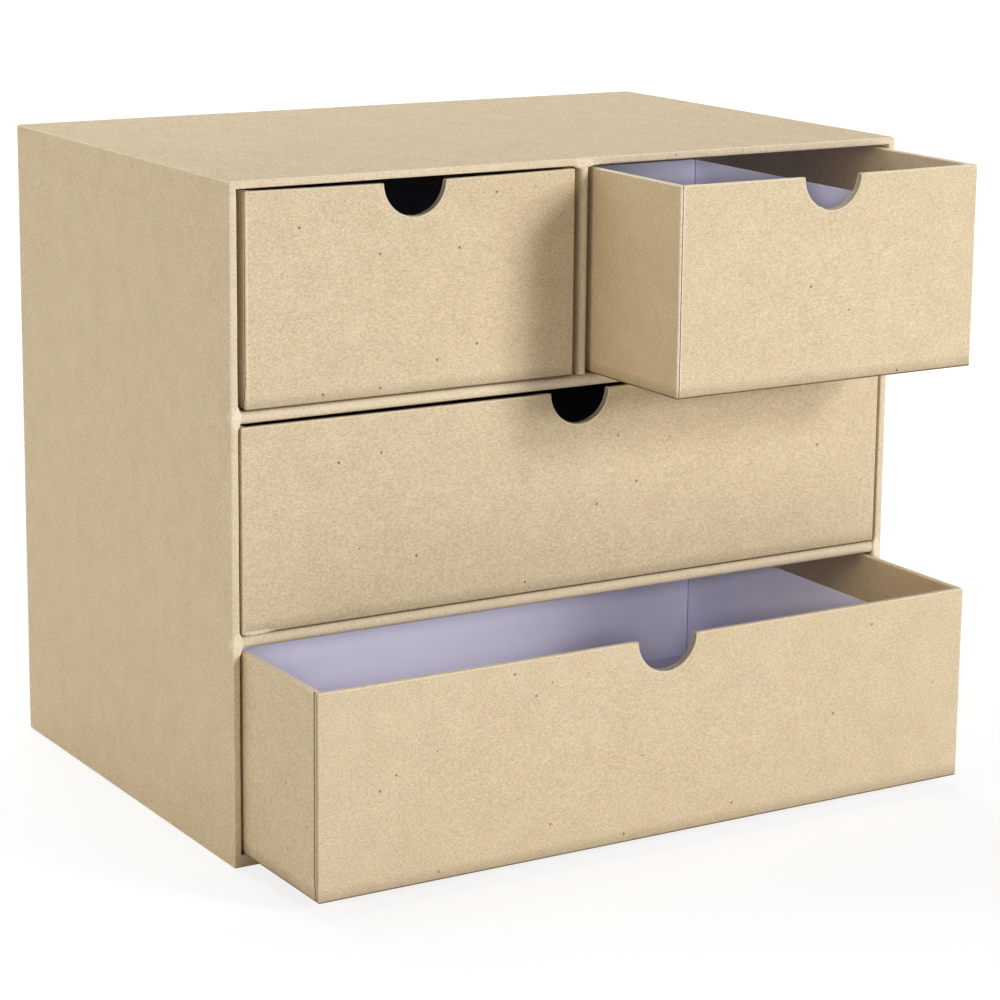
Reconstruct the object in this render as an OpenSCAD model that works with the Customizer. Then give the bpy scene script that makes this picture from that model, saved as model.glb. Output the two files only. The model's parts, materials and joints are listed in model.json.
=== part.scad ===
// Desktop chest of four mini drawers, made of board and covered in kraft paper.
// Millimetres. Origin: middle of the underside of the case. +X right, +Y to the back, +Z up.

/* [Case] */
// Outside width of the case
case_w = 330; // [280:1:420]
// Outside height of the case
case_h = 284; // [272:1:340]
// Outside depth of the case
case_d = 216.5; // [180:0.5:300]
// Thickness of the board in the top, the sides and the back
case_board_t = 2.6; // [1.6:0.1:4]
// Thickness of the board in the base
base_board_t = 4.8; // [1.6:0.1:6]
// Thickness of the board in both shelves
shelf_board_t = 4.8; // [3.4:0.1:6]
// Thickness of the board in the upright divider
divider_board_t = 4; // [3.4:0.1:6]
// How far to the right of the middle the divider stands
divider_offset = 1; // [-12:0.5:12]
// Height of the cell that holds the bottom drawer
bottom_cell_h = 87.6; // [70:0.1:92]
// Height of the cell that holds the middle drawer
middle_cell_h = 87.6; // [70:0.1:92]
// How far the shelves and the divider stand back from the case's front edge
shelf_setback = 0.5; // [0:0.1:5]
// Radius on the front corners of the shelf and divider boards
nose_r = 1.5; // [0.4:0.1:1.6]
// Radius on the long upper edges of the case
case_edge_r = 1; // [0.6:0.1:1.9]

/* [Drawers] */
// Thickness of the board in the drawers
drawer_board_t = 2.1; // [1.4:0.1:3]
// Radius on the upright corners of the drawers
drawer_corner_r = 0.8; // [0.6:0.1:1.8]
// Gap at each side of the two wide drawers
wide_side_gap = 1.6; // [0.5:0.1:4]
// Gap at each side of the two small drawers, with the divider in the middle
small_side_gap = 3; // [0.5:0.1:6]
// Gap above each drawer
top_gap = 1.7; // [0.5:0.1:4]
// Running gap under each drawer
slide_gap = 0.2; // [0.1:0.05:0.5]
// Room left behind a shut drawer
back_gap = 3.6; // [0.5:0.1:15]

/* [Thumb notches] */
// Radius of the punched notch in each drawer front
notch_r = 14.5; // [10:0.5:20]
// Depth of the notch below the rim
notch_depth = 14; // [8:0.5:18]
// How far the bottom drawer's notch lies right of the middle of its front
bottom_notch_offset = 3.4; // [-20:0.1:20]

/* [Paper] */
// Thickness of the kraft covering
kraft_t = 0.3; // [0.15:0.05:0.5]
// Thickness of the pale lining in the drawers
lining_t = 0.2; // [0.1:0.05:0.4]
// Length of the covering that is turned over the drawer rims to the inside
rim_turn_in = 21; // [18:1:40]
// Length of the covering that is turned round the case's front edge to the inside
front_turn_in = 30; // [10:1:60]

/* [Open drawers] */
// How far the upper left drawer stands open
upper_left_open = 1; // [0:1:140]
// How far the upper right drawer stands open
upper_right_open = 64; // [0:1:140]
// How far the middle drawer stands open
middle_open = 0; // [0:1:140]
// How far the bottom drawer stands open
bottom_open = 65; // [0:1:140]

/* [Hidden] */
CASE_PARTS = [
    "case_top_board", "case_base_board", "case_left_board", "case_right_board", "case_back_board",
    "upper_shelf_board", "lower_shelf_board", "divider_board",
    "case_wrap", "case_base_sheet", "case_back_sheet",
    "upper_shelf_wrap", "lower_shelf_wrap", "divider_wrap",
];
DRAWERS = ["upper_left_drawer", "upper_right_drawer", "middle_drawer", "bottom_drawer"];
DRAWER_PARTS = [
    "front_board", "back_board", "left_board", "right_board", "floor_board",
    "wrap", "base_sheet", "lining",
];

$fn = 96;
// Overlap that lets a cutting shape run clear past a face
cut = 1;

BOARD_COLOUR = "#8F8A82";
KRAFT_COLOUR = "#DAC6A0";
LINING_COLOUR = "#C9C8DC";

// Case walls: kraft outside, board, kraft turned to the inside
wall_t = case_board_t + 2 * kraft_t;
base_t = base_board_t + 2 * kraft_t;
shelf_t = shelf_board_t + 2 * kraft_t;
divider_t = divider_board_t + 2 * kraft_t;
clear_w = case_w - 2 * wall_t;
clear_top_z = case_h - wall_t;
front_y = -case_d / 2;
back_y = case_d / 2;
back_board_y = back_y - kraft_t - case_board_t;

// Space inside the boards alone, which is wider than the clear opening by the turned-in paper
core_w = case_w - 2 * kraft_t;
core_in_w = core_w - 2 * case_board_t;
core_in_z = kraft_t + base_board_t;
core_top_z = case_h - kraft_t;
core_in_top_z = core_top_z - case_board_t;
core_front_y = front_y + kraft_t;
core_back_y = back_y - kraft_t;

// Shelves and divider
shelf_front_y = front_y + shelf_setback;
shelf_d = back_board_y - shelf_front_y;
lower_shelf_z = base_t + bottom_cell_h;
middle_cell_z = lower_shelf_z + shelf_t;
upper_shelf_z = middle_cell_z + middle_cell_h;
top_cell_z = upper_shelf_z + shelf_t;
top_cell_h = clear_top_z - top_cell_z;
divider_left_x = divider_offset - divider_t / 2;
divider_right_x = divider_offset + divider_t / 2;

// Drawers
drawer_wall_t = drawer_board_t + 2 * kraft_t;
drawer_d = back_board_y - back_gap - front_y;
wide_drawer_w = clear_w - 2 * wide_side_gap;
small_drawer_w = (clear_w - divider_t) / 2 - 2 * small_side_gap;
left_cell_mid_x = (divider_left_x - clear_w / 2) / 2;
right_cell_mid_x = (divider_right_x + clear_w / 2) / 2;

// Per drawer, in the order of DRAWERS: middle x, floor of its cell, cell height, width, how far
// open, how far right of the middle its notch lies
DRAWER_TABLE = [
    [left_cell_mid_x, top_cell_z, top_cell_h, small_drawer_w, upper_left_open, 0],
    [right_cell_mid_x, top_cell_z, top_cell_h, small_drawer_w, upper_right_open, 0],
    [0, middle_cell_z, middle_cell_h, wide_drawer_w, middle_open, 0],
    [0, base_t, bottom_cell_h, wide_drawer_w, bottom_open, bottom_notch_offset],
];

function drawer_h(cell_h) = cell_h - slide_gap - top_gap;

// ---- Shared shapes -------------------------------------------------------------------------

// A block between two corners
module block(low, high) {
    translate(low)
        cube(high - low);
}

// A flat rectangle between two corners
module flat(low, high) {
    translate(low)
        square(high - low);
}

// A flat rectangle with rounded corners
module rounded_flat(low, high, r) {
    flat([low.x + r, low.y], [high.x - r, high.y]);
    flat([low.x, low.y + r], [high.x, high.y - r]);
    for (x = [low.x + r, high.x - r], y = [low.y + r, high.y - r])
        translate([x, y])
            circle(r);
}

// Section of a shelf or divider: thickness along x from 0 to t, front edge with rounded
// corners of radius r at y = 0, and square at y = depth
module nosed_section(t, depth, r) {
    flat([0, r], [t, depth]);
    flat([r, 0], [t - r, r]);
    for (x = [r, t - r])
        translate([x, r])
            circle(r);
}

// The covering on such a section, open at the back
module nose_wrap_section(board_t, depth, r) {
    difference() {
        nosed_section(board_t + 2 * kraft_t, depth, r + kraft_t);
        translate([kraft_t, kraft_t])
            nosed_section(board_t, depth, r);
    }
}

// Lays a section that has its thickness along x down as a shelf: thickness up, across the case
module as_shelf(z) {
    translate([clear_w / 2, shelf_front_y, z])
        rotate([0, -90, 0])
            linear_extrude(clear_w)
                children();
}

// Stands such a section up as the divider
module as_divider() {
    translate([divider_left_x, shelf_front_y, top_cell_z])
        linear_extrude(top_cell_h)
            children();
}

// ---- Case ----------------------------------------------------------------------------------

// Front view of the case, drawn in by inset, with z along the flat y and rounded upper corners
module case_section(inset, z_low) {
    r = case_edge_r - inset;
    top = case_h - inset;
    half_w = case_w / 2 - inset;
    flat([-half_w, z_low], [half_w, top - r]);
    rounded_flat([-half_w, z_low], [half_w, top], r);
}

// Stretches a front view to the back, from y_low to y_high
module along_depth(y_low, y_high) {
    translate([0, y_high, 0])
        rotate([90, 0, 0])
            linear_extrude(y_high - y_low)
                children();
}

module case_top_board() {
    color(BOARD_COLOUR)
        along_depth(core_front_y, core_back_y)
            intersection() {
                case_section(kraft_t, kraft_t);
                flat([-core_w / 2, core_in_top_z], [core_w / 2, core_top_z]);
            }
}

module case_base_board() {
    color(BOARD_COLOUR)
        block([-core_w / 2, core_front_y, kraft_t], [core_w / 2, core_back_y, core_in_z]);
}

module case_side_board(side) {
    color(BOARD_COLOUR)
        translate([side * (core_in_w + case_board_t) / 2, 0, 0])
            block([-case_board_t / 2, core_front_y, core_in_z],
                  [case_board_t / 2, core_back_y, core_in_top_z]);
}

module case_back_board() {
    color(BOARD_COLOUR)
        block([-core_in_w / 2, back_board_y, core_in_z], [core_in_w / 2, core_back_y, core_in_top_z]);
}

module shelf_board(z) {
    color(BOARD_COLOUR)
        as_shelf(z)
            translate([kraft_t, kraft_t])
                nosed_section(shelf_board_t, shelf_d - kraft_t, nose_r);
}

module shelf_wrap(z) {
    color(KRAFT_COLOUR)
        as_shelf(z)
            nose_wrap_section(shelf_board_t, shelf_d, nose_r);
}

module divider_board() {
    color(BOARD_COLOUR)
        as_divider()
            translate([kraft_t, kraft_t])
                nosed_section(divider_board_t, shelf_d - kraft_t, nose_r);
}

module divider_wrap() {
    color(KRAFT_COLOUR)
        as_divider()
            nose_wrap_section(divider_board_t, shelf_d, nose_r);
}

// Front view of the clear opening
module case_opening() {
    flat([-clear_w / 2, base_t], [clear_w / 2, clear_top_z]);
}

// One sheet: over the sides and the top, round the front edges and a little way inside
module case_wrap() {
    color(KRAFT_COLOUR) {
        along_depth(front_y, core_back_y)
            difference() {
                case_section(0, kraft_t);
                case_section(kraft_t, kraft_t - cut);
            }
        along_depth(front_y, core_front_y)
            difference() {
                case_section(0, kraft_t);
                case_opening();
            }
        along_depth(front_y, front_y + front_turn_in)
            difference() {
                flat([-core_in_w / 2, core_in_z], [core_in_w / 2, core_in_top_z]);
                case_opening();
            }
    }
}

module case_base_sheet() {
    color(KRAFT_COLOUR)
        block([-case_w / 2, front_y, 0], [case_w / 2, core_back_y, kraft_t]);
}

module case_back_sheet() {
    color(KRAFT_COLOUR)
        along_depth(core_back_y, back_y)
            case_section(0, 0);
}

// ---- Drawers -------------------------------------------------------------------------------
// Each is drawn with the middle of its front's lower edge at the origin, then put in its cell.

// The thumb notch, as a round punch through the front at x
module notch_punch(h, x) {
    translate([x, drawer_wall_t + cut, h - notch_depth + notch_r])
        rotate([90, 0, 0])
            cylinder(r = notch_r, h = drawer_wall_t + 2 * cut);
}

// The drawer's plan, drawn in by inset on all four sides, from z_low to z_high. The outside
// corners are round; the inside of the board has square ones.
module drawer_plan(w, inset, z_low, z_high) {
    low = [inset - w / 2, inset];
    high = [w / 2 - inset, drawer_d - inset];
    translate([0, 0, z_low])
        linear_extrude(z_high - z_low)
            if (inset < drawer_corner_r)
                rounded_flat(low, high, drawer_corner_r - inset);
            else
                flat(low, high);
}

// What the drawer's board takes up between two depths
module drawer_board_slice(w, h, y_low, y_high) {
    intersection() {
        drawer_plan(w, kraft_t, kraft_t, h - kraft_t);
        block([-w / 2, y_low, 0], [w / 2, y_high, h]);
    }
}

module drawer_front_board(w, h, notch_x) {
    color(BOARD_COLOUR)
        difference() {
            drawer_board_slice(w, h, kraft_t, kraft_t + drawer_board_t);
            notch_punch(h, notch_x);
        }
}

module drawer_back_board(w, h) {
    color(BOARD_COLOUR)
        drawer_board_slice(w, h, drawer_d - kraft_t - drawer_board_t, drawer_d - kraft_t);
}

module drawer_side_board(w, h, side) {
    color(BOARD_COLOUR)
        translate([side * (w - 2 * kraft_t - drawer_board_t) / 2, 0, 0])
            block([-drawer_board_t / 2, kraft_t + drawer_board_t, kraft_t],
                  [drawer_board_t / 2, drawer_d - kraft_t - drawer_board_t, h - kraft_t]);
}

module drawer_floor_board(w) {
    color(BOARD_COLOUR)
        drawer_plan(w, kraft_t + drawer_board_t, kraft_t, kraft_t + drawer_board_t);
}

// One strip: round the four sides, over the rim and down the inside
module drawer_wrap(w, h, notch_x) {
    color(KRAFT_COLOUR)
        difference() {
            drawer_plan(w, 0, kraft_t, h);
            difference() {
                drawer_plan(w, kraft_t, kraft_t - cut, h - kraft_t);
                drawer_plan(w, kraft_t + drawer_board_t, h - rim_turn_in, h);
            }
            drawer_plan(w, drawer_wall_t, kraft_t - cut, h + cut);
            notch_punch(h, notch_x);
        }
}

module drawer_base_sheet(w) {
    color(KRAFT_COLOUR)
        drawer_plan(w, 0, 0, kraft_t);
}

// A tray of pale paper on the floor and up the walls to the turned-in covering
module drawer_lining(w, h) {
    color(LINING_COLOUR)
        difference() {
            drawer_plan(w, kraft_t + drawer_board_t, kraft_t + drawer_board_t, h - rim_turn_in);
            drawer_plan(w, kraft_t + drawer_board_t + lining_t,
                        kraft_t + drawer_board_t + lining_t, h - rim_turn_in + cut);
        }
}

module drawer_part(part, w, h, notch_x) {
    if (part == "front_board") drawer_front_board(w, h, notch_x);
    if (part == "back_board") drawer_back_board(w, h);
    if (part == "left_board") drawer_side_board(w, h, -1);
    if (part == "right_board") drawer_side_board(w, h, 1);
    if (part == "floor_board") drawer_floor_board(w);
    if (part == "wrap") drawer_wrap(w, h, notch_x);
    if (part == "base_sheet") drawer_base_sheet(w);
    if (part == "lining") drawer_lining(w, h);
}

// Puts one part of drawer number i in its cell, as far open as that drawer stands
module placed_drawer_part(i, part) {
    row = DRAWER_TABLE[i];
    translate([row[0], front_y - row[4], row[1] + slide_gap])
        drawer_part(part, row[3], drawer_h(row[2]), row[5]);
}

// ---- Nodes ---------------------------------------------------------------------------------

case_top_board();
case_base_board();
case_side_board(-1);  // case_left_board
case_side_board(1);  // case_right_board
case_back_board();
shelf_board(upper_shelf_z);  // upper_shelf_board
shelf_board(lower_shelf_z);  // lower_shelf_board
divider_board();
case_wrap();
case_base_sheet();
case_back_sheet();
shelf_wrap(upper_shelf_z);  // upper_shelf_wrap
shelf_wrap(lower_shelf_z);  // lower_shelf_wrap
divider_wrap();
for (i = [0:len(DRAWERS) - 1], part = DRAWER_PARTS)
    placed_drawer_part(i, part);
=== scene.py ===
"""Desktop chest of four mini drawers: its kraft covering, pale lining and board on the CAD frame.

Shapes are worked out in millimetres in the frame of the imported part: +X to the right, +Y to the
back, +Z up, with the origin in the middle of the underside. A finished piece is scaled to metres.
"""

import json
import logging
import math
from collections.abc import Callable, Iterable
from dataclasses import dataclass, field, replace
from enum import Enum

import bmesh
import bpy
from mathutils import Matrix, Vector, noise

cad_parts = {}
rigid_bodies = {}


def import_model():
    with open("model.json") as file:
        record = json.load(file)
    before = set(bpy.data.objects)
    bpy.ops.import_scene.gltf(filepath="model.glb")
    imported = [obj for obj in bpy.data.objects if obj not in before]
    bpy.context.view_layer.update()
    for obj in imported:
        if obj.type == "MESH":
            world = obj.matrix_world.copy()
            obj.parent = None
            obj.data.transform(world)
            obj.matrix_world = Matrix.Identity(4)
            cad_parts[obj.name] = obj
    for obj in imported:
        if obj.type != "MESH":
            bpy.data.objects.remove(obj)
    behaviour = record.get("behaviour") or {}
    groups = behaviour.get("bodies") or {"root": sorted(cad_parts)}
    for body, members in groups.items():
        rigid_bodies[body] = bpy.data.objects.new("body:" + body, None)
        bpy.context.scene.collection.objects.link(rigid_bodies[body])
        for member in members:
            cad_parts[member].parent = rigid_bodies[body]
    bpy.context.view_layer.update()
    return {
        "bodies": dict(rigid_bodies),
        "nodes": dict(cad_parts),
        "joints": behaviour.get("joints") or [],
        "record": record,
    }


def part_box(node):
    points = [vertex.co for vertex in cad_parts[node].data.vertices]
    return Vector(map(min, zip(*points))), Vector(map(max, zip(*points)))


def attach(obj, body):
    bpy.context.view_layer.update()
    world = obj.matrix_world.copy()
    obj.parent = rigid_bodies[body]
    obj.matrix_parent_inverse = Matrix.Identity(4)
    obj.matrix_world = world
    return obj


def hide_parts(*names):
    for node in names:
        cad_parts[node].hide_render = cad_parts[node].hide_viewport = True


LOG = logging.getLogger("mini_drawers")
MM = 0.001
KRAFT_THICKNESS = 0.3
LINING_THICKNESS = 0.2
GRID_PITCH = 5.0
HOLD = 0.4  # from a fold to the nearest cut of the grid
SLIVER = 0.01  # a width that counts as none
CONTACT = 1e-3  # how far apart two points may lie and still be in one place
SQUARE_ON = 0.99  # the cosine from which a face counts as looking in a direction
TURNED = 0.25  # the cosine from which a point counts as turned towards it
NOISE_SPAN = (0.3, 0.7)  # where most of soft noise lies
SHARP_ANGLE = math.radians(38)

ACROSS = Vector((1, 0, 0))
INWARD = Vector((0, 1, 0))
UP = Vector((0, 0, 1))
# Nearness to a fold, where the kraft is painted paler: partly rubbed paper, partly a painted
# highlight.
FOLD_RUB_AND_HIGHLIGHT_ATTRIBUTE = "fold"
# Painted shade along feet and in seams' gaps, and the darkening beside some seam corners.
PAINTED_SHADE_ATTRIBUTE = "seam"


# ---- Shader graphs ---------------------------------------------------------------------------


def linear(display: str) -> tuple[float, float, float, float]:
    """Turns a display colour into the linear colour that a shader takes.

    Args:
        display: The colour as it looks on a screen, such as "#DCC8A4".

    Returns:
        Red, green, blue and an alpha of 1.
    """
    parts = [int(display[i : i + 2], 16) / 255 for i in (1, 3, 5)]
    red, green, blue = (
        c / 12.92 if c <= 0.04045 else ((c + 0.055) / 1.055) ** 2.4 for c in parts
    )
    return red, green, blue, 1.0


@dataclass(frozen=True)
class Clouds:
    """Soft noise: the width of a cloud in millimetres, its finer layers and their strength."""

    size: float
    detail: float
    rough: float


class Graph:
    """The node graph of a material or a world, with distances in millimetres."""

    def __init__(self, owner: bpy.types.Material | bpy.types.World) -> None:
        """Starts an empty graph for a new material or world."""
        self.owner = owner
        owner.use_nodes = True
        self.tree = owner.node_tree
        self.tree.nodes.clear()

    def add(self, kind: str, **settings: object) -> bpy.types.Node:
        """Adds a node of that kind, sets its properties and returns it."""
        node = self.tree.nodes.new(kind)
        for key, value in settings.items():
            setattr(node, key, value)
        return node

    def feed(self, socket: bpy.types.NodeSocket, value: object) -> None:
        """Links a socket to the value if it is another socket, and sets it otherwise."""
        if isinstance(value, bpy.types.NodeSocket):
            self.tree.links.new(value, socket)
        else:
            socket.default_value = value

    def place(self, stretch: tuple[float, float, float] = (1, 1, 1)) -> bpy.types.NodeSocket:
        """Gives the place on the object in millimetres, with each axis divided by stretch."""
        here = self.add("ShaderNodeTexCoord")
        scaled = self.add("ShaderNodeMapping")
        self.feed(scaled.inputs["Vector"], here.outputs["Object"])
        scaled.inputs["Scale"].default_value = [1 / (MM * s) for s in stretch]
        return scaled.outputs["Vector"]

    def clouds(self, place: bpy.types.NodeSocket, kind: Clouds) -> bpy.types.NodeSocket:
        """Makes soft noise of one kind, with values around 0.5."""
        node = self.add("ShaderNodeTexNoise")
        self.feed(node.inputs["Vector"], place)
        node.inputs["Scale"].default_value = 1 / kind.size
        node.inputs["Detail"].default_value = kind.detail
        node.inputs["Roughness"].default_value = kind.rough
        return node.outputs["Fac"]

    def specks(
        self, place: bpy.types.NodeSocket, spacing: float, radius: float, share: float
    ) -> bpy.types.NodeSocket:
        """Scatters soft round specks, one to a cell, over some of the cells.

        Args:
            place: Where on the object, in millimetres.
            spacing: The width of a cell in millimetres.
            radius: The radius of the largest speck in millimetres.
            share: The share of the cells that hold one.

        Returns:
            1 in the middle of a speck and 0 off the specks.
        """
        smallest, core = 0.35, 0.45
        node = self.add("ShaderNodeTexVoronoi")
        self.feed(node.inputs["Vector"], place)
        node.inputs["Scale"].default_value = 1 / spacing
        pick = self.add("ShaderNodeSeparateColor")
        self.feed(pick.inputs["Color"], node.outputs["Color"])
        chosen = self.maths("LESS_THAN", pick.outputs["Red"], share)
        largest = radius / spacing
        reach = self.spread(pick.outputs["Green"], 0, 1, smallest * largest, largest)
        depth = self.maths("DIVIDE", node.outputs["Distance"], reach)
        disc = self.spread(depth, core, 1, 1, 0)
        return self.maths("MULTIPLY", chosen, disc)

    def maths(self, operation: str, first: object, second: object) -> bpy.types.NodeSocket:
        """Applies one arithmetic operation to two sockets or numbers."""
        node = self.add("ShaderNodeMath", operation=operation)
        self.feed(node.inputs[0], first)
        self.feed(node.inputs[1], second)
        return node.outputs["Value"]

    def spread(
        self, value: object, low: float, high: float, to_low: float, to_high: float
    ) -> bpy.types.NodeSocket:
        """Maps low to high onto to_low to to_high, and holds it at the ends."""
        node = self.add("ShaderNodeMapRange")
        self.feed(node.inputs["Value"], value)
        for name, number in (
            ("From Min", low), ("From Max", high), ("To Min", to_low), ("To Max", to_high),
        ):
            node.inputs[name].default_value = number
        return node.outputs["Result"]

    def level(self, clouds: bpy.types.NodeSocket, low: float, high: float) -> bpy.types.NodeSocket:
        """Maps the span in which soft noise mostly lies onto low to high."""
        return self.spread(clouds, *NOISE_SPAN, low, high)

    def blend(self, share: object, first: object, second: object) -> bpy.types.NodeSocket:
        """Blends two colours: the first where share is 0, the second where it is 1."""
        node = self.add("ShaderNodeMix", data_type="RGBA")
        colours = [s for s in node.inputs if s.type == "RGBA"]
        self.feed(node.inputs["Factor"], share)
        self.feed(colours[0], first)
        self.feed(colours[1], second)
        return next(s for s in node.outputs if s.type == "RGBA")

    def attribute(self, name: str) -> bpy.types.NodeSocket:
        """Reads a number that the mesh carries at its points."""
        return self.add("ShaderNodeAttribute", attribute_name=name).outputs["Fac"]

    def relief(self, height: bpy.types.NodeSocket, depth: float) -> bpy.types.NodeSocket:
        """Turns a height from 0 to 1 into bumps that are depth millimetres deep."""
        node = self.add("ShaderNodeBump")
        node.inputs["Strength"].default_value = 1.0
        node.inputs["Distance"].default_value = depth * MM
        self.feed(node.inputs["Height"], height)
        return node.outputs["Normal"]

    def finish(
        self,
        colour: object,
        roughness: object,
        normal: object,
        specular: float,
        sheen: float = 0.0,
    ) -> bpy.types.Material:
        """Joins the shader that all of this feeds and returns the finished material."""
        shader = self.add("ShaderNodeBsdfPrincipled")
        self.feed(shader.inputs["Base Color"], colour)
        self.feed(shader.inputs["Roughness"], roughness)
        self.feed(shader.inputs["Normal"], normal)
        shader.inputs["Specular IOR Level"].default_value = specular
        shader.inputs["Sheen Weight"].default_value = sheen
        output = self.add("ShaderNodeOutputMaterial")
        self.feed(output.inputs["Surface"], shader.outputs["BSDF"])
        return self.owner


# ---- Finishes --------------------------------------------------------------------------------


@dataclass(frozen=True)
class Flecks:
    """Soft specks of one colour in a paper, with sizes in millimetres."""

    colour: str
    spacing: float
    radius: float
    share: float
    strength: float

    def over(
        self, graph: Graph, place: bpy.types.NodeSocket, colour: bpy.types.NodeSocket
    ) -> bpy.types.NodeSocket:
        """Strews the specks over a colour and returns what comes of it."""
        specks = graph.specks(place, self.spacing, self.radius, self.share)
        specks = graph.maths("MULTIPLY", specks, self.strength)
        return graph.blend(specks, colour, linear(self.colour))


@dataclass(frozen=True)
class KraftPaper:
    """Matt recycled kraft: fine light and dark fibre, soft clouds and a few dark specks."""

    name: str = "kraft_paper"
    light: str = "#FAECCE"
    dark: str = "#BEAA8A"
    pink: str = "#E9C6A9"
    green: str = "#D2CBA0"
    # Paler colour at folds: partly rubbed paper, partly a painted highlight.
    rubbed_and_highlight: str = "#FCF2DC"
    # Painted shade colour, also used for the darkening beside some seam corners.
    shade_colour: str = "#5E4526"
    along_fibre: tuple[float, float, float] = (1.5, 1.5, 0.8)
    grain: Clouds = Clouds(2.6, detail=4, rough=0.8)
    broad: Clouds = Clouds(14.0, detail=2, rough=0.55)
    hue: Clouds = Clouds(4.5, detail=1, rough=0.4)
    fibre: Clouds = Clouds(0.75, detail=1, rough=0.6)
    pale_patches: Clouds = Clouds(1.3, detail=3, rough=0.7)
    grain_tone: tuple[float, float] = (0.44, 0.56)
    broad_tone: tuple[float, float] = (-0.05, 0.05)
    fibre_tone: tuple[float, float] = (-0.32, 0.32)
    tint_share: float = 0.11
    least_pale_patches: float = 0.35
    shade_strength: float = 0.9
    roughness: tuple[float, float] = (0.92, 0.8)
    relief_depth: float = 0.03
    flecks: tuple[Flecks, ...] = (
        Flecks("#A08660", spacing=1.3, radius=0.4, share=0.5, strength=0.42),
        Flecks("#F6ECD6", spacing=1.2, radius=0.42, share=0.4, strength=0.5),
        Flecks("#FFF8E6", spacing=11.0, radius=0.7, share=0.4, strength=0.8),
        Flecks("#5E4830", spacing=9.0, radius=0.85, share=0.28, strength=0.8),
    )

    def material(self) -> bpy.types.Material:
        """Builds the paper's material."""
        graph = Graph(bpy.data.materials.new(self.name))
        place, along = graph.place(), graph.place(self.along_fibre)
        grain = graph.clouds(along, self.grain)
        broad = graph.clouds(place, self.broad)
        hue = graph.clouds(place, self.hue)
        fibre = graph.clouds(along, self.fibre)

        tone = graph.maths(
            "ADD", graph.level(grain, *self.grain_tone), graph.level(broad, *self.broad_tone),
        )
        tone = graph.maths("ADD", tone, graph.spread(fibre, 0.2, 0.8, *self.fibre_tone))
        colour = graph.blend(tone, linear(self.dark), linear(self.light))
        tint = graph.blend(graph.spread(hue, 0.35, 0.65, 0, 1), linear(self.pink), linear(self.green))
        colour = graph.blend(self.tint_share, colour, tint)
        for kind in self.flecks:
            colour = kind.over(graph, place, colour)

        # Folds painted paler in patches: partly rubbed paper, partly a painted highlight.
        pale_patches = graph.spread(graph.clouds(place, self.pale_patches), 0.36, 0.56, self.least_pale_patches, 1)
        fold = graph.spread(graph.attribute(FOLD_RUB_AND_HIGHLIGHT_ATTRIBUTE), 0.15, 0.75, 0, 1)
        colour = graph.blend(graph.maths("MULTIPLY", fold, pale_patches), colour, linear(self.rubbed_and_highlight))
        # Painted shade where the mesh marks it: along feet, in seams' gaps, and darker beside some
        # seam corners.
        seam = graph.maths("MULTIPLY", graph.attribute(PAINTED_SHADE_ATTRIBUTE), self.shade_strength)
        colour = graph.blend(seam, colour, linear(self.shade_colour))

        return graph.finish(colour, graph.level(grain, *self.roughness),
                            graph.relief(fibre, self.relief_depth), specular=0.22)


@dataclass(frozen=True)
class GreyBoard:
    """Solid grey chipboard, as the cut edge of a notch shows it."""

    name: str = "greyboard"
    light: str = "#C4BCA8"
    dark: str = "#938A78"
    flecks: Flecks = Flecks("#DDD8CD", spacing=1.5, radius=0.3, share=0.3, strength=0.5)
    layered: tuple[float, float, float] = (6, 0.9, 6)
    layers: Clouds = Clouds(0.4, detail=3, rough=0.6)
    pulp: Clouds = Clouds(0.7, detail=3, rough=0.65)
    layer_tone: tuple[float, float] = (0, 0.55)
    pulp_tone: tuple[float, float] = (0, 0.45)
    roughness: tuple[float, float] = (0.98, 0.85)
    relief_depth: float = 0.12

    def material(self) -> bpy.types.Material:
        """Builds the board's material."""
        graph = Graph(bpy.data.materials.new(self.name))
        place = graph.place()
        layers = graph.clouds(graph.place(self.layered), self.layers)
        pulp = graph.clouds(place, self.pulp)
        tone = graph.maths(
            "ADD", graph.level(layers, *self.layer_tone), graph.level(pulp, *self.pulp_tone),
        )
        colour = graph.blend(tone, linear(self.dark), linear(self.light))
        colour = self.flecks.over(graph, place, colour)
        height = graph.maths("ADD", layers, pulp)
        return graph.finish(colour, graph.level(pulp, *self.roughness),
                            graph.relief(height, self.relief_depth), specular=0.15)


@dataclass(frozen=True)
class PaleLining:
    """Smooth matt lavender paper with a very fine tooth."""

    name: str = "pale_lining"
    light: str = "#DDDBF0"
    dark: str = "#D5D3EA"
    fibres: Flecks = Flecks("#E9E8F4", spacing=2.6, radius=0.4, share=0.2, strength=0.3)
    along_fibre: tuple[float, float, float] = (2.4, 2.4, 0.7)
    tooth: Clouds = Clouds(0.45, detail=3, rough=0.6)
    broad: Clouds = Clouds(22.0, detail=2, rough=0.5)
    tooth_tone: tuple[float, float] = (0.3, 0.7)
    broad_tone: tuple[float, float] = (-0.2, 0.2)
    roughness: tuple[float, float] = (0.85, 0.75)
    relief_depth: float = 0.012

    def material(self) -> bpy.types.Material:
        """Builds the lining's material."""
        graph = Graph(bpy.data.materials.new(self.name))
        place = graph.place()
        tooth = graph.clouds(place, self.tooth)
        broad = graph.clouds(place, self.broad)
        tone = graph.maths(
            "ADD", graph.level(tooth, *self.tooth_tone), graph.level(broad, *self.broad_tone),
        )
        colour = graph.blend(tone, linear(self.dark), linear(self.light))
        colour = self.fibres.over(graph, graph.place(self.along_fibre), colour)
        return graph.finish(colour, graph.level(tooth, *self.roughness),
                            graph.relief(tooth, self.relief_depth), specular=0.25)


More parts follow.
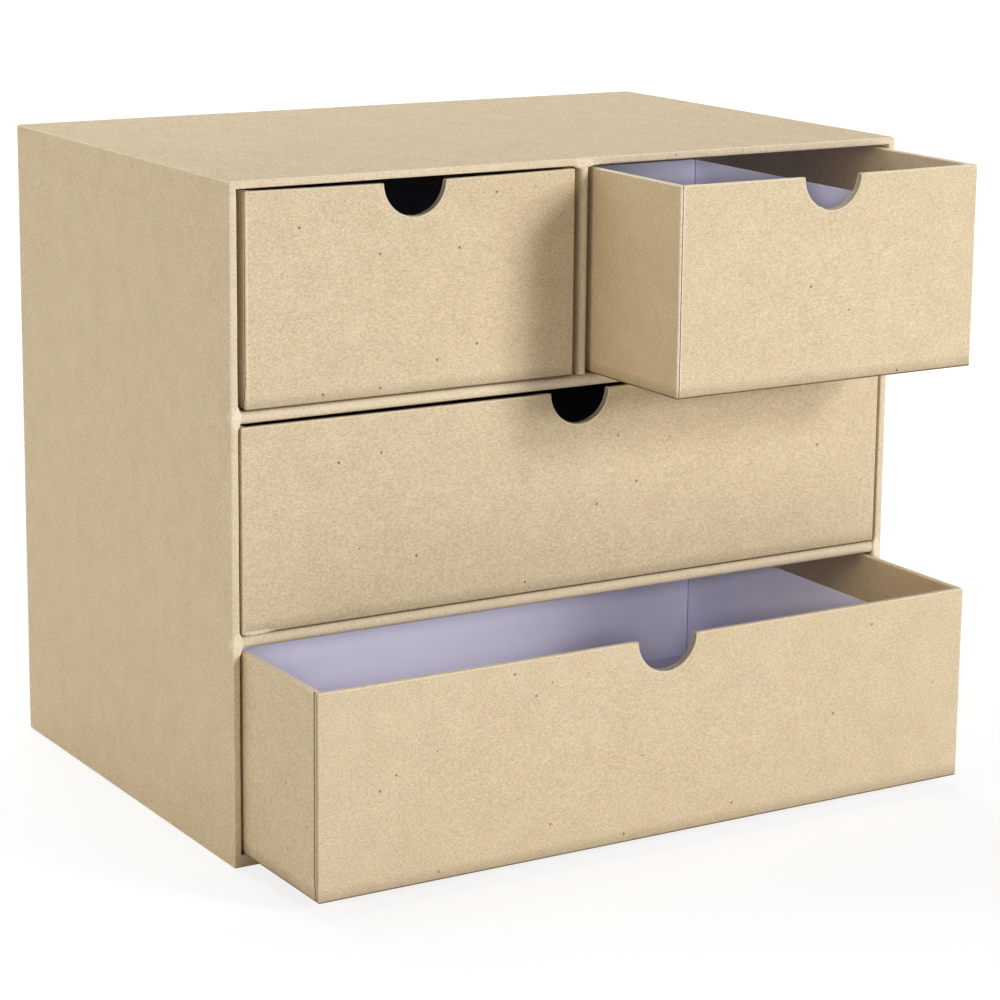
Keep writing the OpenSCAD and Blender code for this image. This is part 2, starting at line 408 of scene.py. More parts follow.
@dataclass(frozen=True)
class CutEdge:
    """Torn pale fibre, where a punch has gone through the kraft."""

    name: str = "kraft_cut_edge"
    light: str = "#F6EEDC"
    dark: str = "#D9CBB0"
    fibre: Clouds = Clouds(0.5, detail=3, rough=0.65)
    roughness: float = 0.9
    relief_depth: float = 0.08

    def material(self) -> bpy.types.Material:
        """Builds the cut edge's material."""
        graph = Graph(bpy.data.materials.new(self.name))
        fibre = graph.clouds(graph.place(), self.fibre)
        colour = graph.blend(graph.level(fibre, 0, 1), linear(self.dark), linear(self.light))
        return graph.finish(colour, self.roughness,
                            graph.relief(fibre, self.relief_depth), specular=0.15)


@dataclass
class Finishes:
    """The finishes of the chest, each made once."""

    kraft: bpy.types.Material = field(default_factory=lambda: KraftPaper().material())
    cut_edge: bpy.types.Material = field(default_factory=lambda: CutEdge().material())
    board: bpy.types.Material = field(default_factory=lambda: GreyBoard().material())
    lining: bpy.types.Material = field(default_factory=lambda: PaleLining().material())


class Slot(Enum):
    """The record's material slots."""

    KRAFT = "kraft_paper"
    BOARD = "greyboard"
    LINING = "pale_lining"


# ---- Sheets of paper -------------------------------------------------------------------------


def evenly(low: float, high: float, pitch: float) -> list[float]:
    """Gives even steps from low to high that are at most pitch apart."""
    count = max(1, math.ceil((high - low) / pitch))
    return [low + (high - low) * i / count for i in range(count + 1)]


def slice_across(
    shape: bmesh.types.BMesh,
    axis: Vector,
    places: Iterable[float],
    faces: list[bmesh.types.BMFace] | None = None,
) -> None:
    """Cuts new edges into a shape where it crosses planes square to an axis.

    Args:
        shape: What is cut.
        axis: The direction square to the planes.
        places: How far along the axis each plane lies.
        faces: The faces that are cut, if not all of them.
    """
    for place in places:
        if faces is None:
            part = shape.verts[:] + shape.edges[:] + shape.faces[:]
        else:
            part = [*dict.fromkeys(v for f in faces for v in f.verts)]
            part += [*dict.fromkeys(e for f in faces for e in f.edges), *faces]
        cut = bmesh.ops.bisect_plane(
            shape, geom=part, dist=1e-4, plane_co=axis * place, plane_no=axis,
        )
        if faces is not None:
            faces = [g for g in cut["geom"] if isinstance(g, bmesh.types.BMFace)]


def displace(
    shape: bmesh.types.BMesh, push: Callable[[bmesh.types.BMVert], Vector | None]
) -> None:
    """Moves the points of a shape, once it is known how far each of them goes.

    Args:
        shape: What is changed.
        push: Gives the move of a point, or None for one that stays.
    """
    shape.normal_update()
    moves = [(vert, push(vert)) for vert in shape.verts]
    for vert, move in moves:
        if move is not None:
            vert.co += move


@dataclass(frozen=True)
class Swell:
    """Smooth random unevenness of a width and a greatest height, in millimetres."""

    width: float
    height: float

    def at(self, place: Vector) -> float:
        """Gives the height there, which is never below 0."""
        return self.height * (0.5 + 0.5 * noise.noise(place / self.width))


def rounded_block(
    low: Vector, high: Vector, start: float, height: float, radii: tuple[float, float]
) -> bmesh.types.BMesh:
    """Makes a block whose plan is a rectangle with round corners.

    Args:
        low: The lowest corner of the plan.
        high: The highest corner of the plan.
        start: The third coordinate of the plan.
        height: How far the block reaches from there.
        radii: The corner radius at the low and at the high side of the second axis.

    Returns:
        A closed shape.
    """
    shape = bmesh.new()
    bmesh.ops.create_grid(shape, x_segments=1, y_segments=1, size=0.5)
    middle = (low + high) / 2
    bmesh.ops.scale(shape, vec=(high.x - low.x, high.y - low.y, 1), verts=shape.verts)
    bmesh.ops.translate(shape, vec=(middle.x, middle.y, start), verts=shape.verts)
    for radius, at_low in zip(radii, (True, False)):
        corners = [v for v in shape.verts if (v.co.y < middle.y) == at_low]
        outer = [v for v in corners if abs(v.co.y - (low.y if at_low else high.y)) < CONTACT]
        if radius > 0:
            bmesh.ops.bevel(
                shape, geom=outer, offset=radius, segments=6, profile=0.5,
                affect="VERTICES", material=-1,
            )
    raised = bmesh.ops.extrude_face_region(shape, geom=shape.faces[:])["geom"]
    risen = [g for g in raised if isinstance(g, bmesh.types.BMVert)]
    bmesh.ops.translate(shape, vec=(0, 0, height), verts=risen)
    bmesh.ops.recalc_face_normals(shape, faces=shape.faces[:])
    return shape


def cap_of(shape: bmesh.types.BMesh, towards: Vector) -> bmesh.types.BMFace:
    """Finds the largest face that looks in one direction."""
    shape.normal_update()
    return max(shape.faces, key=lambda f: (f.normal.dot(towards) > SQUARE_ON) * f.calc_area())


def inset(shape: bmesh.types.BMesh, towards: Vector, width: float, rise: float) -> None:
    """Draws the cap that looks in one direction in by width, and out of its plane by rise."""
    bmesh.ops.inset_region(
        shape, faces=[cap_of(shape, towards)], thickness=width, depth=rise,
        use_even_offset=True, use_boundary=True,
    )


def square_up(
    shape: bmesh.types.BMesh, towards: Vector, low: Vector, high: Vector, margin: float
) -> None:
    """Draws a cap with round corners in to a plain rectangle.

    Args:
        shape: The sheet, closed by the cap.
        towards: The direction in which the cap looks.
        low: The lowest corner of the box that the sheet goes round.
        high: The highest corner of that box.
        margin: How far the rectangle lies inside the box.
    """
    inset(shape, towards, SLIVER, 0)
    corners = cap_of(shape, towards).verts[:]
    for vert in corners:
        vert.co.x = min(max(vert.co.x, low.x + margin), high.x - margin)
        vert.co.y = min(max(vert.co.y, low.y + margin), high.y - margin)
    bmesh.ops.remove_doubles(shape, verts=corners, dist=SLIVER)


def fold_over(shape: bmesh.types.BMesh, towards: Vector, radius: float, inner: bool) -> None:
    """Rolls the sheet round a quarter turn at the edge of a cap.

    Args:
        shape: The sheet, closed by the cap.
        towards: The direction in which the cap looks.
        radius: The radius of the roll.
        inner: False for the roll from the wall onto the rim, True for the one from the rim down
            to the inside.
    """
    steps = 4
    turns = [math.pi / 2 * i / steps for i in range(steps + 1)]
    for start, end in zip(turns, turns[1:]):
        first = radius * (math.cos(start) - math.cos(end))
        second = radius * (math.sin(end) - math.sin(start))
        if inner:
            inset(shape, towards, second, -first)
        else:
            inset(shape, towards, first, second)


@dataclass(frozen=True)
class Nudge:
    """A soft push on a sheet around one point, in millimetres."""

    at: tuple[float, float, float]
    push: tuple[float, float, float]
    reach: float

    def apply(self, shape: bmesh.types.BMesh) -> None:
        """Moves the points within reach, most of all the nearest ones."""
        displace(shape, self._pushed)

    def _pushed(self, vert: bmesh.types.BMVert) -> Vector | None:
        """Gives the move of one point."""
        near = 1 - (vert.co - Vector(self.at)).length_squared / self.reach**2
        return Vector(self.push) * near**2 if near > 0 else None


@dataclass(frozen=True)
class Crumple:
    """Small puckers in a sheet around one point of an edge, in millimetres."""

    at: tuple[float, float, float]
    reach: float
    height: float
    grain: float = 2.2
    cuts: int = 5
    edge: float = 1.2
    rub_and_highlight: float = 1.6

    def apply(self, shape: bmesh.types.BMesh) -> None:
        """Makes the grid finer, raises ridges and paints the edge paler as rubbed paper and
        highlight.
        """
        centre = Vector(self.at)
        fold = shape.verts.layers.float[FOLD_RUB_AND_HIGHLIGHT_ATTRIBUTE]
        painted_shade = shape.verts.layers.float[PAINTED_SHADE_ATTRIBUTE]
        near = [
            e for e in shape.edges if all((v.co - centre).length < self.reach for v in e.verts)
        ]
        bmesh.ops.subdivide_edges(shape, edges=near, cuts=self.cuts, use_grid_fill=True)

        def raised(vert: bmesh.types.BMVert) -> Vector | None:
            """Gives the move of one point, and paints it paler if it lies at the edge."""
            share = 1 - (vert.co - centre).length_squared / self.reach**2
            if share <= 0:
                return None
            # The puckered edge is painted paler, partly rubbed paper and partly a highlight, and
            # loses its painted shade.
            if abs(vert.co.z - centre.z) < self.edge:
                vert[fold] = max(vert[fold], min(1.0, self.rub_and_highlight * share))
                vert[painted_shade] *= 1 - share
            ridge = 1 - 2 * abs(noise.noise(vert.co / self.grain))
            return vert.normal * self.height * share * max(0.0, ridge)

        displace(shape, raised)


@dataclass(frozen=True)
class Seam:
    """Where the sheet ends, beside the corner of the low sides of the first two axes.

    The end stands a little proud, next to a narrow gap with painted shade in it. Both lean aside
    near the foot. The seam lies just behind the corner, or just beside it on the front.

    Attributes:
        beside: How far from the corner the sheet ends.
        slant: How much farther away the end lies at the foot.
        slant_height: The height at which the slant begins.
        rub_and_highlight_width: The width of the strip behind the gap painted paler as rubbed paper
            and highlight, or 0 if none.
        corner_darkening: How much darker it is between the corner and the end, from 0 to 1.
        gap: The width of the gap.
        groove: How deep the gap is.
        proud: How far the end stands out.
        end_slope: The width of the slope from the end down into the gap.
        gap_slope: The width of the slope out of the gap.
        rub_and_highlight_fade: The width over which that paler strip fades.
        margin: How close to the rim and the foot the sheet stays flat.
        fade: The height over which the relief grows from there.
        darkening_start: How far from the corner that darkening begins.
        darkening_depth: How far behind the side that darkening reaches.
        on_front: Whether the seam lies on the front.
    """

    beside: float = 1.5
    slant: float = 0.0
    slant_height: float = 14.0
    rub_and_highlight_width: float = 0.0
    corner_darkening: float = 0.0
    gap: float = 0.26
    groove: float = 0.14
    proud: float = 0.12
    end_slope: float = 0.06
    gap_slope: float = 0.08
    rub_and_highlight_fade: float = 0.3
    margin: float = 0.1
    fade: float = 0.7
    darkening_start: float = 0.5
    darkening_depth: float = 0.2
    on_front: bool = False

    def lines(self) -> list[float]:
        """Gives the distances from the corner at which the sheet needs edges."""
        far_side = self.beside + self.gap
        end = far_side + self.gap_slope
        pale_end = end + self.rub_and_highlight_fade + self.rub_and_highlight_width
        return [self.beside - self.end_slope, self.beside, far_side, end, pale_end]

    def cut(self, shape: bmesh.types.BMesh, low: Vector, within: float) -> None:
        """Cuts the edges that the seam needs into the side on which it lies.

        Args:
            shape: The whole sheet.
            low: The lowest corner of the box.
            within: How far from the side a face may be to belong to it.
        """
        shape.normal_update()
        along, off = (0, 1) if self.on_front else (1, 0)
        least_turn, greatest_rise = 0.1, 0.9
        side = []
        for face in shape.faces:
            middle = face.calc_center_median() - low
            if face.normal[off] < -least_turn and abs(face.normal.z) < greatest_rise:
                if middle[off] < within and middle[along] < GRID_PITCH:
                    side.append(face)
        axis = ACROSS if self.on_front else INWARD
        slice_across(shape, axis, [low[along] + d for d in self.lines()], side)

    def dress(self, shape: bmesh.types.BMesh, low: Vector, rim: float, within: float) -> None:
        """Presses the gap in, lifts the end of the sheet, paints shade into the gap and marks the
        paler strips and the corner's darkening.

        Args:
            shape: The sheet, already cut along the lines.
            low: The lowest corner of the box.
            rim: The height of the rim, towards which all of this dies away.
            within: How far from the side a point may be to belong to it.
        """
        painted_shade = shape.verts.layers.float[PAINTED_SHADE_ATTRIBUTE]
        fold = shape.verts.layers.float[FOLD_RUB_AND_HIGHLIGHT_ATTRIBUTE]
        lines = self.lines()
        along, off = (0, 1) if self.on_front else (1, 0)

        def dressed(vert: bmesh.types.BMVert) -> Vector | None:
            """Gives the move of one point, and marks it."""
            here = vert.co - low
            if here[off] > within or here[along] > lines[-1] + CONTACT:
                return None
            from_ends = min(rim - vert.co.z, here.z)
            share = min(1.0, max(0.0, (from_ends - self.margin) / self.fade))
            if here[along] < lines[0] - CONTACT:
                # Darker between the corner and the end.
                if here[along] > self.darkening_start and here[off] < self.darkening_depth:
                    vert[painted_shade] = max(vert[painted_shade], self.corner_darkening)
                # The end of the sheet: painted paler, as rubbed paper and highlight.
                if self.rub_and_highlight_width > 0:
                    vert[fold] = 1.0
                return vert.normal * self.proud * share
            line = min(range(len(lines)), key=lambda i: abs(here[along] - lines[i]))
            # Painted shade in the gap.
            if line in (1, 2):
                vert[painted_shade] = 1.0
                vert[fold] = 0.0
            # Behind the gap: painted paler, as rubbed paper and highlight.
            if line == 3 and self.rub_and_highlight_width > 0:
                vert[fold] = 1.0
            lean = Vector((0, 0, 0))
            lean[along] = max(0.0, 1 - here.z / self.slant_height) ** 1.5 * self.slant
            rise = (self.proud, -self.groove, -self.groove, 0, 0)[line] * share
            return vert.normal * rise + lean

        displace(shape, dressed)


@dataclass
class BoxCover:
    """A sheet round four sides of a box, turned over its open end to the inside.

    The box stands on its shut end in a frame of its own: the first two axes span its plan and the
    third runs from the shut end to the open one.

    Attributes:
        low: The lowest corner of the box.
        high: The highest corner of the box.
        wall: The thickness of the walls, paper and all.
        sill: The thickness of the wall at the low side of the second axis.
        turn_in: How far the sheet goes down the inside.
        lip: How far it goes in over the shut end.
        radii: The corner radius at the low and at the high side of the second axis.
        fold_radius: The radius of the folds at the rim and the shut end.
        corner_clearance: What a flap's square outline lies inside the round corners.
        seed: Tells this sheet's unevenness from that of the others.
        still: The directions in which it stays flat.
        nudges: What is done to it at single points.
        bows: An axis, the side (-1 or 1) and the depth of each wall that bows outwards.
        bow_margin: How far behind a wall's face a point still belongs to that wall.
        seam: Where it ends, if that shows.
        seam_slack: What the seam reaches past the fold radius behind its side.
        rim_rise: How far the rim rises towards its ends.
        rim_band: The height of the band that rises.
        rim_highlight: The least painted highlight along the rim, from 0 to 1.
        foot_shade: The painted shade along the fold at the foot, from 0 to 1.
        foot_shade_fade: The share of that painted shade just above the fold.
        broad: The broad unevenness.
        fine: The fine unevenness.
        edge: The unevenness of the folds.
        seed_step: How far one step of the seed shifts the unevenness.
    """

    low: Vector
    high: Vector
    wall: float
    sill: float
    turn_in: float
    lip: float
    radii: tuple[float, float]
    fold_radius: float = 0.8
    corner_clearance: float = 0.2
    seed: float = 0.0
    still: tuple[tuple[float, float, float], ...] = ()
    nudges: tuple[Nudge | Crumple, ...] = ()
    bows: tuple[tuple[int, int, float], ...] = ()
    bow_margin: float = 1.3
    seam: Seam | None = None
    seam_slack: float = 0.05
    rim_rise: float = 0.0
    rim_band: float = 6.0
    rim_highlight: float = 0.0
    foot_shade: float = 0.0
    foot_shade_fade: float = 0.34
    broad: Swell = Swell(width=46, height=0.14)
    fine: Swell = Swell(width=13, height=0.035)
    edge: Swell = Swell(width=9, height=0.1)
    seed_step: tuple[float, float, float] = (37.1, 11.7, 5.3)

    def build(self) -> bmesh.types.BMesh:
        """Folds the sheet and gives it the small unevenness of paper on board."""
        shape = self._fold()
        self._slice(shape)
        self._mark_folds(shape)
        self._cut_seam(shape)
        self._unflatten(shape)
        for nudge in self.nudges:
            nudge.apply(shape)
        return shape

    def _fold(self) -> bmesh.types.BMesh:
        """Wraps the sheet round the box, over the rim and over the shut end."""
        low, high, roll = self.low, self.high, self.fold_radius
        height = high.z - low.z - 2 * roll
        shape = rounded_block(low, high, low.z + roll, height, self.radii)
        margin = max(self.radii) + self.corner_clearance
        for towards in (UP, -UP):
            fold_over(shape, towards, roll, inner=False)
            square_up(shape, towards, low, high, margin)
        inset(shape, -UP, self.lip - margin, 0)
        bmesh.ops.delete(shape, geom=[cap_of(shape, -UP)], context="FACES")

        inset(shape, UP, self.wall - roll - margin, 0)
        rim = cap_of(shape, UP)
        sill_verts = [v for v in rim.verts if v.co.y < (low.y + high.y) / 2]
        bmesh.ops.translate(shape, vec=(0, self.sill - self.wall, 0), verts=sill_verts)
        fold_over(shape, UP, roll, inner=True)
        inset(shape, UP, 0, roll - self.turn_in)
        bmesh.ops.delete(shape, geom=[cap_of(shape, UP)], context="FACES")
        return shape

    def _slice(self, shape: bmesh.types.BMesh) -> None:
        """Cuts a grid into the sheet, held close to the folds."""
        edge = max(self.radii) + HOLD
        slice_across(shape, ACROSS, evenly(self.low.x + edge, self.high.x - edge, GRID_PITCH))
        slice_across(shape, INWARD, evenly(self.low.y + edge, self.high.y - edge, GRID_PITCH))
        edge = self.fold_radius + HOLD
        slice_across(shape, UP, evenly(self.low.z + edge, self.high.z - edge, GRID_PITCH))

    def _mark_folds(self, shape: bmesh.types.BMesh) -> None:
        """Marks how close each point is to the line of a fold."""
        layer = shape.verts.layers.float.new(FOLD_RUB_AND_HIGHLIGHT_ATTRIBUTE)
        for vert in shape.verts:
            across = min(vert.co.x - self.low.x, self.high.x - vert.co.x)
            deep = vert.co.y - self.low.y
            sunk = min(deep, self.high.y - vert.co.y)
            outer = min(across, sunk)
            inner = min(abs(across - self.wall), abs(sunk - self.wall), abs(deep - self.sill))
            rim = self.high.z - vert.co.z
            foot = vert.co.z - self.low.z
            edges = [max(outer, rim), max(across, sunk), max(inner, rim)]
            # A foot with painted shade takes no paler fold mark.
            if not self.foot_shade:
                edges.append(max(outer, foot))
            vert[layer] = max(0.0, 1 - min(edges) / self.fold_radius)
            # Painted highlight along the rim.
            if rim < HOLD:
                vert[layer] = max(vert[layer], self.rim_highlight)

    def _cut_seam(self, shape: bmesh.types.BMesh) -> None:
        """Paints shade along the foot, and ends the sheet beside the corner if it has a seam."""
        painted_shade = shape.verts.layers.float.new(PAINTED_SHADE_ATTRIBUTE)
        for vert in shape.verts:
            foot = vert.co.z - self.low.z
            if foot < self.fold_radius + SLIVER:
                vert[painted_shade] = self.foot_shade
            elif foot < self.fold_radius + HOLD + SLIVER:
                vert[painted_shade] = self.foot_shade * self.foot_shade_fade
        if self.seam:
            reach = self.fold_radius + self.seam_slack
            self.seam.cut(shape, self.low, reach)
            self.seam.dress(shape, self.low, self.high.z, reach)

    def _unflatten(self, shape: bmesh.types.BMesh) -> None:
        """Bows the walls outwards a little and ripples the paper."""
        fold = shape.verts.layers.float[FOLD_RUB_AND_HIGHLIGHT_ATTRIBUTE]
        middle, half = (self.low + self.high) / 2, (self.high - self.low) / 2
        shift = Vector(self.seed_step) * self.seed

        def lifted(vert: bmesh.types.BMVert) -> Vector:
            """Gives the move of one point."""
            here = vert.co + shift
            push = self.broad.at(here) + self.fine.at(here) + self.edge.at(here) * vert[fold]
            if any(vert.normal.dot(Vector(s)) > TURNED for s in self.still):
                push = 0.0
            move = vert.normal * push
            from_middle = [(vert.co[i] - middle[i]) / half[i] for i in range(3)]
            for axis, side, depth in self.bows:
                if side * (vert.co[axis] - middle[axis]) > half[axis] - self.bow_margin:
                    others = [from_middle[i] for i in range(3) if i != axis]
                    move[axis] += side * depth * math.prod(1 - min(1, abs(o)) ** 2 for o in others)
            near_rim = max(0.0, 1 - (self.high.z - vert.co.z) / self.rim_band)
            move.z += self.rim_rise * near_rim * from_middle[0] ** 2
            return move

        displace(shape, lifted)


@dataclass
class NosedCover:
    """A sheet folded round the front edge of a shelf or divider.

    It is drawn with its length along the first axis, its depth along the second from the nose at
    0, and its thickness along the third from 0.
    """

    thickness: float
    depth: float
    length: float
    seed: float
    nose_depth: float = 2.3
    nose_steps: int = 12
    bulge: float = 0.3
    grid: tuple[float, float] = (6.0, 40.0)
    rub_and_highlight: float = 0.45
    waver: Swell = Swell(width=17, height=0.16)
    fine: Swell = Swell(width=5, height=0.05)
    seed_step: tuple[float, float, float] = (29.3, 0.0, 7.9)

    def build(self) -> bmesh.types.BMesh:
        """Rolls the nose, draws both legs to the back and stretches them to the full length."""
        shape = bmesh.new()
        half = self.thickness / 2
        tip = shape.verts.new((0, 0, self.thickness))
        bmesh.ops.spin(
            shape, geom=[tip], cent=(0, 0, half), axis=ACROSS, angle=math.pi,
            steps=self.nose_steps,
        )
        for vert in shape.verts:
            vert.co.y = -abs(vert.co.y) * self.nose_depth / half + self.nose_depth - self.bulge
        for end in [v for v in shape.verts if len(v.link_edges) == 1]:
            leg = bmesh.ops.extrude_vert_indiv(shape, verts=[end])["verts"]
            for vert in leg:
                vert.co.y = self.depth
        sides = bmesh.ops.extrude_edge_only(shape, edges=shape.edges[:])["geom"]
        moved = [g for g in sides if isinstance(g, bmesh.types.BMVert)]
        bmesh.ops.translate(shape, vec=(self.length, 0, 0), verts=moved)
        bmesh.ops.recalc_face_normals(shape, faces=shape.faces[:])
        slice_across(shape, ACROSS, evenly(0, self.length, GRID_PITCH)[1:-1])
        slice_across(shape, INWARD, [self.nose_depth + HOLD, *evenly(*self.grid, GRID_PITCH)])
        shape.normal_update()
        nose = min(shape.faces, key=lambda f: f.calc_center_median().y)
        if nose.normal.y > 0:
            bmesh.ops.reverse_faces(shape, faces=shape.faces[:])
        self._ripple(shape)
        return shape

    def _ripple(self, shape: bmesh.types.BMesh) -> None:
        """Marks the fold along the nose, which the kraft paints paler as rubbed paper and highlight,
        and lets it waver.
        """
        fold = shape.verts.layers.float.new(FOLD_RUB_AND_HIGHLIGHT_ATTRIBUTE)
        shape.verts.layers.float.new(PAINTED_SHADE_ATTRIBUTE)
        shift = Vector(self.seed_step) * self.seed

        def wavered(vert: bmesh.types.BMVert) -> Vector | None:
            """Gives the move of one point, and marks it."""
            vert[fold] = self.rub_and_highlight * max(0.0, 1 - (vert.co.y + self.bulge) / self.nose_depth)
            here = vert.co + shift
            if vert.co.y < self.nose_depth:
                return -INWARD * (self.waver.at(here) + self.fine.at(here))
            return None

        displace(shape, wavered)


@dataclass
class TrayLining:
    """Paper on the floor and up the walls of a drawer, cut at the upright corners."""

    low: Vector
    high: Vector
    seed: float
    corner_gap: float = 0.28
    floor_fillet: float = 0.7
    rim_margin: float = 1.0
    lift: Swell = Swell(width=38, height=0.1)
    seed_step: tuple[float, float, float] = (17.3, 3.1, 0.0)

    def build(self) -> bmesh.types.BMesh:
        """Draws the face that shows, looking inwards."""
        low, high = self.low, self.high
        skin = LINING_THICKNESS
        plan_low = low + Vector((skin, skin, 0))
        plan_high = high - Vector((skin, skin, 0))
        shape = rounded_block(
            plan_low, plan_high, low.z + skin, high.z - low.z - skin, radii=(0, 0)
        )
        bmesh.ops.delete(shape, geom=[cap_of(shape, UP)], context="FACES")
        bmesh.ops.reverse_faces(shape, faces=shape.faces[:])
        upright = [e for e in shape.edges if abs(e.verts[0].co.z - e.verts[1].co.z) > CONTACT]
        cut = bmesh.ops.bevel(
            shape, geom=upright, offset=self.corner_gap, segments=1, profile=0.5,
            affect="EDGES", material=-1,
        )["faces"]
        corner_strips = sorted(cut, key=lambda f: f.calc_area())[-len(upright):]
        bmesh.ops.delete(shape, geom=corner_strips, context="FACES_ONLY")
        floor_edges = [
            e for e in shape.edges
            if all(abs(v.co.z - low.z - skin) < CONTACT for v in e.verts) and len(e.link_faces) == 2
        ]
        bmesh.ops.bevel(
            shape, geom=floor_edges, offset=self.floor_fillet, segments=3, profile=0.5,
            affect="EDGES", material=-1,
        )
        edge = self.floor_fillet + HOLD
        pitch = 2 * GRID_PITCH
        slice_across(shape, ACROSS, evenly(plan_low.x + edge, plan_high.x - edge, pitch))
        slice_across(shape, INWARD, evenly(plan_low.y + edge, plan_high.y - edge, pitch))
        slice_across(shape, UP, evenly(low.z + skin + edge, high.z - self.rim_margin, pitch))
        shift = Vector(self.seed_step) * self.seed
        displace(shape, lambda vert: vert.normal * self.lift.at(vert.co + shift))
        return shape


def flat_sheet(low: Vector, high: Vector, radius: float, edge_fold: float) -> bmesh.types.BMesh:
    """Makes a flat sheet of paper with a softened lower edge.

    Args:
        low: Its lowest corner, on the side that shows.
        high: Its highest corner.
        radius: The radius of its corners.
        edge_fold: The radius of the softened edge.

    Returns:
        A closed shape whose lower face shows.
    """
    shape = rounded_block(low, high, high.z, low.z + edge_fold - high.z, (radius, radius))
    fold_over(shape, -UP, edge_fold, inner=False)
    edge, pitch = 4.0, 4 * GRID_PITCH
    slice_across(shape, ACROSS, evenly(low.x + edge, high.x - edge, pitch))
    slice_across(shape, INWARD, evenly(low.y + edge, high.y - edge, pitch))
    return shape


# ---- From shapes to pieces -------------------------------------------------------------------


def as_object(shape: bmesh.types.BMesh, name: str) -> bpy.types.Object:
    """Puts a shape in an object of its own and frees it."""
    mesh = bpy.data.meshes.new(name)
    shape.to_mesh(mesh)
    shape.free()
    piece = bpy.data.objects.new(name, mesh)
    bpy.context.scene.collection.objects.link(piece)
    return piece


def evaluated(piece: bpy.types.Object) -> bmesh.types.BMesh:
    """Gives the shape of an object with its modifiers applied, and removes the object."""
    bpy.context.view_layer.update()
    graph = bpy.context.evaluated_depsgraph_get()
    shape = bmesh.new()
    shape.from_mesh(piece.evaluated_get(graph).to_mesh())
    old = piece.data
    bpy.data.objects.remove(piece)
    bpy.data.meshes.remove(old)
    return shape


def thicken(shape: bmesh.types.BMesh, thickness: float) -> bmesh.types.BMesh:
    """Gives a sheet its thickness, behind the side that shows."""
    piece = as_object(shape, "sheet")
    wall = piece.modifiers.new("thickness", "SOLIDIFY")
    wall.thickness = thickness
    wall.offset = -1
    return evaluated(piece)


def punch(
    shape: bmesh.types.BMesh, cutter: bmesh.types.BMesh, edge: bpy.types.Material
) -> bmesh.types.BMesh:
    """Cuts one closed shape out of another.

    Args:
        shape: What is cut.
        cutter: What is taken out of it.
        edge: The finish of the cut, which becomes the shape's second material.

    Returns:
        The shape that is left.
    """
    piece, tool = as_object(shape, "punched"), as_object(cutter, "punch")
    piece.data.materials.append(None)
    tool.data.materials.append(edge)
    cut = piece.modifiers.new("punch", "BOOLEAN")
    cut.operation = "DIFFERENCE"
    cut.solver = "EXACT"
    cut.material_mode = "TRANSFER"
    cut.object = tool
    result = evaluated(piece)
    mesh = tool.data
    bpy.data.objects.remove(tool)
    bpy.data.meshes.remove(mesh)
    return result


def finish_piece(
    shape: bmesh.types.BMesh,
    name: str,
    material: bpy.types.Material,
    body: str,
    node: str,
    place: Matrix | None = None,
) -> bpy.types.Object:
    """Turns a shape in millimetres into a piece of the model.

    Args:
        shape: The finished shape.
        name: The piece's name.
        material: What it is made of.
        body: The body that it rides on.
        node: The CAD node that it stands for.
        place: Where its own frame lies in the part's frame, if it isn't the same.

    Returns:
        The piece, in place.
    """
    shape.transform(Matrix.Scale(MM, 4) @ (place or Matrix.Identity(4)))
    piece = as_object(shape, name)
    mesh = piece.data
    mesh.polygons.foreach_set("use_smooth", [True] * len(mesh.polygons))
    mesh.set_sharp_from_angle(angle=SHARP_ANGLE)
    mesh.materials.append(material)
    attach(piece, body)
    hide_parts(node)
    LOG.info("%s: %d faces on %s", name, len(mesh.polygons), body)
    return piece


def box_of(node: str) -> tuple[Vector, Vector]:
    """Gives the lowest and highest corner of a CAD node in millimetres."""
    low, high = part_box(node)
    return low / MM, high / MM


def facing_front(origin: Vector) -> Matrix:
    """Gives the place of a shape that is drawn lying, so that its third axis looks to the front."""
    return Matrix.Translation(origin) @ Matrix.Rotation(math.pi / 2, 4, "X")


# ---- The chest -------------------------------------------------------------------------------


@dataclass
class SubAssembly:
    """One body of the chest: CAD boards that get their finish, and the paper on them."""

    frame: dict
    finishes: Finishes
    name: str

    def kraft_piece(
        self, shape: bmesh.types.BMesh, name: str, node: str, place: Matrix | None = None
    ) -> bpy.types.Object:
        """Finishes one kraft piece that rides on this body and stands for one CAD node."""
        kraft = self.finishes.kraft
        return finish_piece(shape, name, kraft, self.name, node, place)

    def dress_boards(self, boards: Iterable[str]) -> None:
        """Gives the boards that stay in the model their finish."""
        for board in boards:
            piece = self.frame["nodes"][board]
            piece.data.materials.clear()
            piece.data.materials.append(self.finishes.board)
            LOG.info("%s keeps its CAD shape", board)


